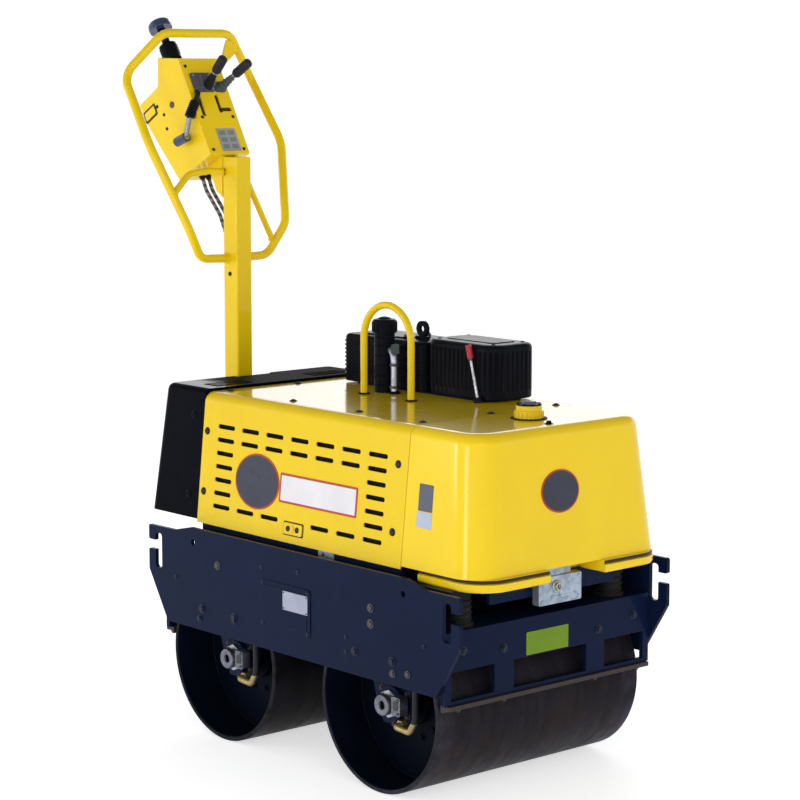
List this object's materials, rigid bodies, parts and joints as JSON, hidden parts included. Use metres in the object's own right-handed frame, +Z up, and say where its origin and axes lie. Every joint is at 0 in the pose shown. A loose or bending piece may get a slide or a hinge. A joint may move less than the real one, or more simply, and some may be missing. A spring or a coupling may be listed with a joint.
{
  "type": "walk-behind duplex road roller",
  "caption": "Walk-behind vibratory road roller with tandem smooth drums, a hooded engine deck, a water tank and a drawbar folded upright.",
  "frame": {"origin": "on the ground, midway between the drums' axles and between the side plates", "axes": "+X away from the drawbar, towards the water tank; +Y to the left; +Z up"},
  "size_m": [1.6065, 0.681, 1.8012],
  "materials": {
    "yellow": "glossy yellow paint",
    "tank_yellow": "glossy moulded yellow",
    "navy": "satin dark navy paint",
    "black": "black moulded plastic",
    "black_metal": "satin black paint",
    "drum_steel": "worn rolled steel with a rust tint",
    "drum_inside": "dark paint with dirt",
    "steel": "turned steel",
    "galvanised": "galvanised steel",
    "brass": "brass unions and pipes",
    "rubber": "black rubber",
    "engine": "dark engine casting",
    "grip": "black grips",
    "red": "red grip",
    "blue": "dark blue knob"
  },
  "bodies": {
    "chassis": {"air_cleaner": "black", "bearing_caps": "steel", "decompression_grip": "red", "decompression_lever": "steel", "drawbar_bracket": "navy", "drawbar_pin": "steel", "drum_buffers": "rubber", "drum_carriers": "navy", "engine_block": "engine", "engine_cowling": "black", "engine_head_cover": "black", "frame_mounts": "rubber", "front_bracket": "galvanised", "front_cross_member": "navy", "hydraulic_fittings": "brass", "lifting_bail": "yellow", "rear_cover": "black", "rear_cross_member": "navy", "scrapers": "black_metal", "side_panel_left": "yellow", "side_panel_right": "yellow", "side_plate_left": "navy", "side_plate_right": "navy", "tank_cap": "tank_yellow", "tank_tray": "tank_yellow", "top_cover": "yellow", "upper_frame": "navy", "water_tank": "tank_yellow"},
    "front_drum": {"front_drum_shell": "drum_steel", "front_drum_discs": "drum_inside", "front_drum_axle": "drum_inside"},
    "rear_drum": {"rear_drum_shell": "drum_steel", "rear_drum_discs": "drum_inside", "rear_drum_axle": "drum_inside"},
    "drawbar": {"drawbar_column": "yellow", "control_head": "tank_yellow", "handle_ring": "yellow", "handle_braces": "yellow", "stop_button_base": "black", "stop_button": "blue", "travel_levers": "steel", "lever_grips": "grip", "vibration_lever": "steel", "vibration_knob": "blue", "control_cables": "rubber"}
  },
  "joints": [
    {"name": "front_drum_spin", "type": "hinge", "parent": "chassis", "child": "front_drum", "pos_m": [0.296, 0, 0.206], "axis": [0, 1, 0], "continuous": true},
    {"name": "rear_drum_spin", "type": "hinge", "parent": "chassis", "child": "rear_drum", "pos_m": [-0.296, 0, 0.206], "axis": [0, 1, 0], "continuous": true},
    {"name": "drawbar_fold", "type": "hinge", "parent": "chassis", "child": "drawbar", "pos_m": [-0.65, 0, 0.66], "axis": [0, -1, 0], "range_deg": [0, 80]}
  ]
}
